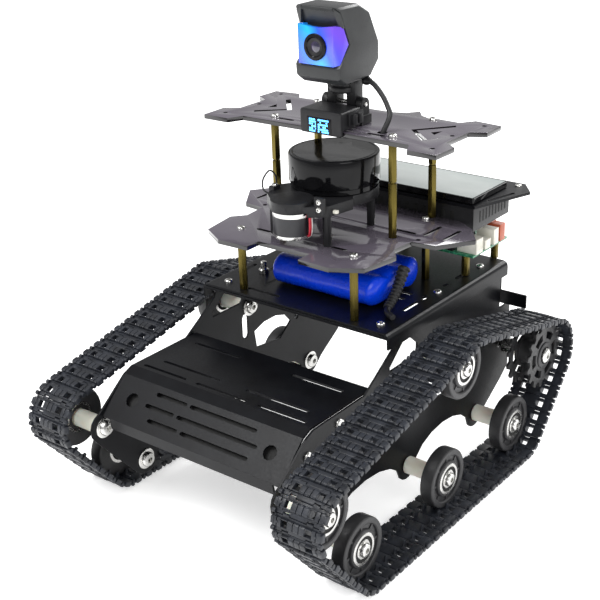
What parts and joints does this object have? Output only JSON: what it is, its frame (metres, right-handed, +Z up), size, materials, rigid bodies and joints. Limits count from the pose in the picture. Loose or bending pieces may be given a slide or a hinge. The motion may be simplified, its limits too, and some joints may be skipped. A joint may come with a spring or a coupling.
{
  "type": "tracked robot chassis",
  "caption": "Tracked robot chassis with a folded sheet-metal body, tracks, acrylic storeys, lidar, camera and rear display.",
  "frame": {"origin": "centre of the ground footprint, on the ground", "axes": "+Z up, front of the robot faces -Y, +X is on the viewer's right from the front"},
  "size_m": [0.241, 0.3028, 0.3175],
  "materials": {
    "black_sheet": "satin black powder coat",
    "track_rubber": "matte moulded links",
    "wheel_plastic": "satin moulded",
    "axle_steel": "plated",
    "spacer_nylon": "off-white nylon spacer over a plated bolt",
    "motor_steel": "brushed",
    "smoked_acrylic": "glossy smoked acrylic",
    "brass": "turned brass",
    "lidar_plastic": "high gloss",
    "black_plastic": "satin",
    "camera_plastic": "fine matte",
    "battery_wrap": "shiny shrink wrap",
    "board_green": "solder mask",
    "display_glass": "flat glass over a grey screen",
    "cable_rubber": "matte"
  },
  "bodies": {
    "chassis": {"main_deck": "black_sheet", "side_plate_left": "black_sheet", "side_plate_right": "black_sheet", "front_cover": "black_sheet", "rear_plate": "black_sheet", "track_left": "track_rubber", "track_right": "track_rubber", "axle_front_idler_left": "spacer_nylon", "axle_return_roller_left": "spacer_nylon", "axle_road_wheel_front_left": "spacer_nylon", "axle_road_wheel_mid_left": "spacer_nylon", "axle_road_wheel_rear_left": "spacer_nylon", "axle_front_idler_right": "spacer_nylon", "axle_return_roller_right": "spacer_nylon", "axle_road_wheel_front_right": "spacer_nylon", "axle_road_wheel_mid_right": "spacer_nylon", "axle_road_wheel_rear_right": "spacer_nylon", "gear_motor_left": "motor_steel", "gear_motor_right": "motor_steel", "lower_plate": "smoked_acrylic", "upper_plate": "smoked_acrylic", "lower_standoff_front_left": "brass", "lower_standoff_front_right": "brass", "lower_standoff_rear_left": "brass", "lower_standoff_rear_right": "brass", "upper_standoff_front_left": "brass", "upper_standoff_front_right": "brass", "upper_standoff_rear_left": "brass", "upper_standoff_rear_right": "brass", "board_standoff_front_left": "brass", "board_standoff_front_right": "brass", "board_standoff_rear_left": "brass", "board_standoff_rear_right": "brass", "lidar_base": "black_plastic", "lidar_motor": "motor_steel", "status_screen_box": "black_plastic", "camera_base": "black_plastic", "hinge_pin": "axle_steel", "camera_cable": "cable_rubber", "battery_pack": "battery_wrap", "computer_board": "board_green", "computer_case": "black_plastic", "display_tray": "black_sheet", "display_panel": "display_glass"},
    "drive_left": {"drive_sprocket_left": "wheel_plastic", "drive_shaft_left": "axle_steel"},
    "front_idler_left": {"front_idler_left": "wheel_plastic"},
    "return_roller_left": {"return_roller_left": "wheel_plastic"},
    "road_wheel_front_left": {"road_wheel_front_left": "wheel_plastic"},
    "road_wheel_mid_left": {"road_wheel_mid_left": "wheel_plastic"},
    "road_wheel_rear_left": {"road_wheel_rear_left": "wheel_plastic"},
    "drive_right": {"drive_sprocket_right": "wheel_plastic", "drive_shaft_right": "axle_steel"},
    "front_idler_right": {"front_idler_right": "wheel_plastic"},
    "return_roller_right": {"return_roller_right": "wheel_plastic"},
    "road_wheel_front_right": {"road_wheel_front_right": "wheel_plastic"},
    "road_wheel_mid_right": {"road_wheel_mid_right": "wheel_plastic"},
    "road_wheel_rear_right": {"road_wheel_rear_right": "wheel_plastic"},
    "lidar_rotor": {"lidar_head": "lidar_plastic"},
    "camera": {"camera_head": "camera_plastic"}
  },
  "joints": [
    {"name": "drive_left_spin", "type": "hinge", "parent": "chassis", "child": "drive_left", "pos_m": [-0.1026, 0.123, 0.0663], "axis": [1, 0, 0], "continuous": true},
    {"name": "front_idler_left_spin", "type": "hinge", "parent": "chassis", "child": "front_idler_left", "pos_m": [-0.1026, -0.1271, 0.064], "axis": [1, 0, 0], "continuous": true},
    {"name": "return_roller_left_spin", "type": "hinge", "parent": "chassis", "child": "return_roller_left", "pos_m": [-0.1026, 0.0207, 0.096], "axis": [1, 0, 0], "continuous": true},
    {"name": "road_wheel_front_left_spin", "type": "hinge", "parent": "chassis", "child": "road_wheel_front_left", "pos_m": [-0.1026, -0.0938, 0.0243], "axis": [1, 0, 0], "continuous": true},
    {"name": "road_wheel_mid_left_spin", "type": "hinge", "parent": "chassis", "child": "road_wheel_mid_left", "pos_m": [-0.1026, 0.0018, 0.0243], "axis": [1, 0, 0], "continuous": true},
    {"name": "road_wheel_rear_left_spin", "type": "hinge", "parent": "chassis", "child": "road_wheel_rear_left", "pos_m": [-0.1026, 0.0897, 0.0243], "axis": [1, 0, 0], "continuous": true},
    {"name": "drive_right_spin", "type": "hinge", "parent": "chassis", "child": "drive_right", "pos_m": [0.1026, 0.123, 0.0663], "axis": [1, 0, 0], "continuous": true},
    {"name": "front_idler_right_spin", "type": "hinge", "parent": "chassis", "child": "front_idler_right", "pos_m": [0.1026, -0.1271, 0.064], "axis": [1, 0, 0], "continuous": true},
    {"name": "return_roller_right_spin", "type": "hinge", "parent": "chassis", "child": "return_roller_right", "pos_m": [0.1026, 0.0207, 0.096], "axis": [1, 0, 0], "continuous": true},
    {"name": "road_wheel_front_right_spin", "type": "hinge", "parent": "chassis", "child": "road_wheel_front_right", "pos_m": [0.1026, -0.0938, 0.0243], "axis": [1, 0, 0], "continuous": true},
    {"name": "road_wheel_mid_right_spin", "type": "hinge", "parent": "chassis", "child": "road_wheel_mid_right", "pos_m": [0.1026, 0.0018, 0.0243], "axis": [1, 0, 0], "continuous": true},
    {"name": "road_wheel_rear_right_spin", "type": "hinge", "parent": "chassis", "child": "road_wheel_rear_right", "pos_m": [0.1026, 0.0897, 0.0243], "axis": [1, 0, 0], "continuous": true},
    {"name": "lidar_spin", "type": "hinge", "parent": "chassis", "child": "lidar_rotor", "pos_m": [0, 0.0282, 0.2117], "axis": [0, 0, 1], "continuous": true},
    {"name": "camera_tilt", "type": "hinge", "parent": "chassis", "child": "camera", "pos_m": [0, 0.0415, 0.2523], "axis": [1, 0, 0], "range_deg": [-20, 30]}
  ],
  "couplings": [
    {"joint": "front_idler_left_spin", "follows": "drive_left_spin", "ratio": 1.1911},
    {"joint": "return_roller_left_spin", "follows": "drive_left_spin", "ratio": 1.1911},
    {"joint": "road_wheel_front_left_spin", "follows": "drive_left_spin", "ratio": 1.1911},
    {"joint": "road_wheel_mid_left_spin", "follows": "drive_left_spin", "ratio": 1.1911},
    {"joint": "road_wheel_rear_left_spin", "follows": "drive_left_spin", "ratio": 1.1911},
    {"joint": "front_idler_right_spin", "follows": "drive_right_spin", "ratio": 1.1911},
    {"joint": "return_roller_right_spin", "follows": "drive_right_spin", "ratio": 1.1911},
    {"joint": "road_wheel_front_right_spin", "follows": "drive_right_spin", "ratio": 1.1911},
    {"joint": "road_wheel_mid_right_spin", "follows": "drive_right_spin", "ratio": 1.1911},
    {"joint": "road_wheel_rear_right_spin", "follows": "drive_right_spin", "ratio": 1.1911}
  ]
}
